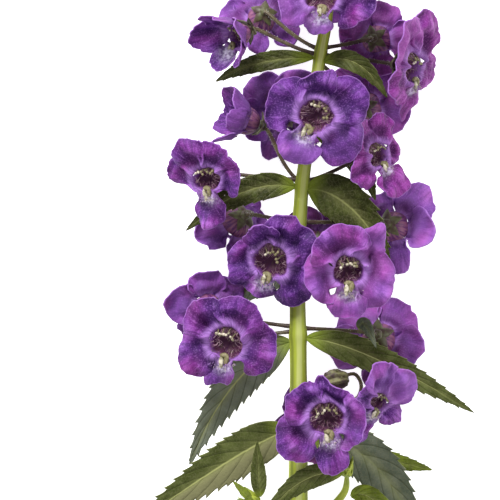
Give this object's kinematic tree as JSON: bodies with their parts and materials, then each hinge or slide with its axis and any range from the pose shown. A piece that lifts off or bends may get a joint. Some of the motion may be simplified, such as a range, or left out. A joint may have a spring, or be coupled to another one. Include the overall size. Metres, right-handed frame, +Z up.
{
  "type": "angelonia flower spike",
  "caption": "Cut spike of a flowering plant, lying flat: violet two-lipped blooms on thin stalks round a green stem, with toothed leaves, buds and side shoots.",
  "frame": {"origin": "middle of the spike's box at the height of the surface that it lies on", "axes": "+Y along the stem towards its tip, with the cut end at -Y; +Z up, away from the surface; +X to the right as seen from above with the tip pointing up"},
  "size_m": [0.0776, 0.1779, 0.0299],
  "materials": {
    "petal": "velvety violet petals with lilac edges, and a maroon throat with pale hairs",
    "leaf": "dark olive leaf with a pale midrib, slightly glossy",
    "stem": "grooved yellow-green stem with maroon flower stalks",
    "bud": "closed violet bud on a green calyx"
  },
  "bodies": {
    "root": {"bloom_base_back": "petal", "bloom_base_front": "petal", "bloom_base_right": "petal", "bloom_crown_back": "petal", "bloom_crown_front": "petal", "bloom_crown_left": "petal", "bloom_crown_right": "petal", "bloom_crown_under": "petal", "bloom_low_left": "petal", "bloom_low_left_back": "petal", "bloom_low_right_back": "petal", "bloom_lower_back": "petal", "bloom_lower_front_left": "petal", "bloom_lower_front_right": "petal", "bloom_middle_left": "petal", "bloom_middle_left_back": "petal", "bloom_middle_right": "petal", "bloom_middle_right_back": "petal", "bloom_top_front": "petal", "bloom_top_left": "petal", "bloom_top_left_back": "petal", "bloom_top_right": "petal", "bloom_top_right_back": "petal", "bloom_top_right_far": "petal", "bloom_upper_front": "petal", "bloom_upper_left": "petal", "bloom_upper_left_back": "petal", "bud_01": "bud", "bud_02": "bud", "bud_03": "bud", "bud_04": "bud", "bud_05": "bud", "bud_06": "bud", "leaf_base_left": "leaf", "leaf_base_right": "leaf", "leaf_base_tip": "leaf", "leaf_bract": "leaf", "leaf_crown_left": "leaf", "leaf_crown_right": "leaf", "leaf_foot_left": "leaf", "leaf_foot_right": "leaf", "leaf_low_left": "leaf", "leaf_low_right": "leaf", "leaf_lower_left": "leaf", "leaf_middle_left": "leaf", "leaf_middle_right": "leaf", "leaf_shoot_left_outer": "leaf", "leaf_shoot_left_small": "leaf", "leaf_shoot_left_upright": "leaf", "leaf_shoot_right_arched": "leaf", "leaf_shoot_right_outer": "leaf", "leaf_top_left": "leaf", "leaf_top_right": "leaf", "leaf_upper_right": "leaf", "stem": "stem"}
  },
  "joints": []
}
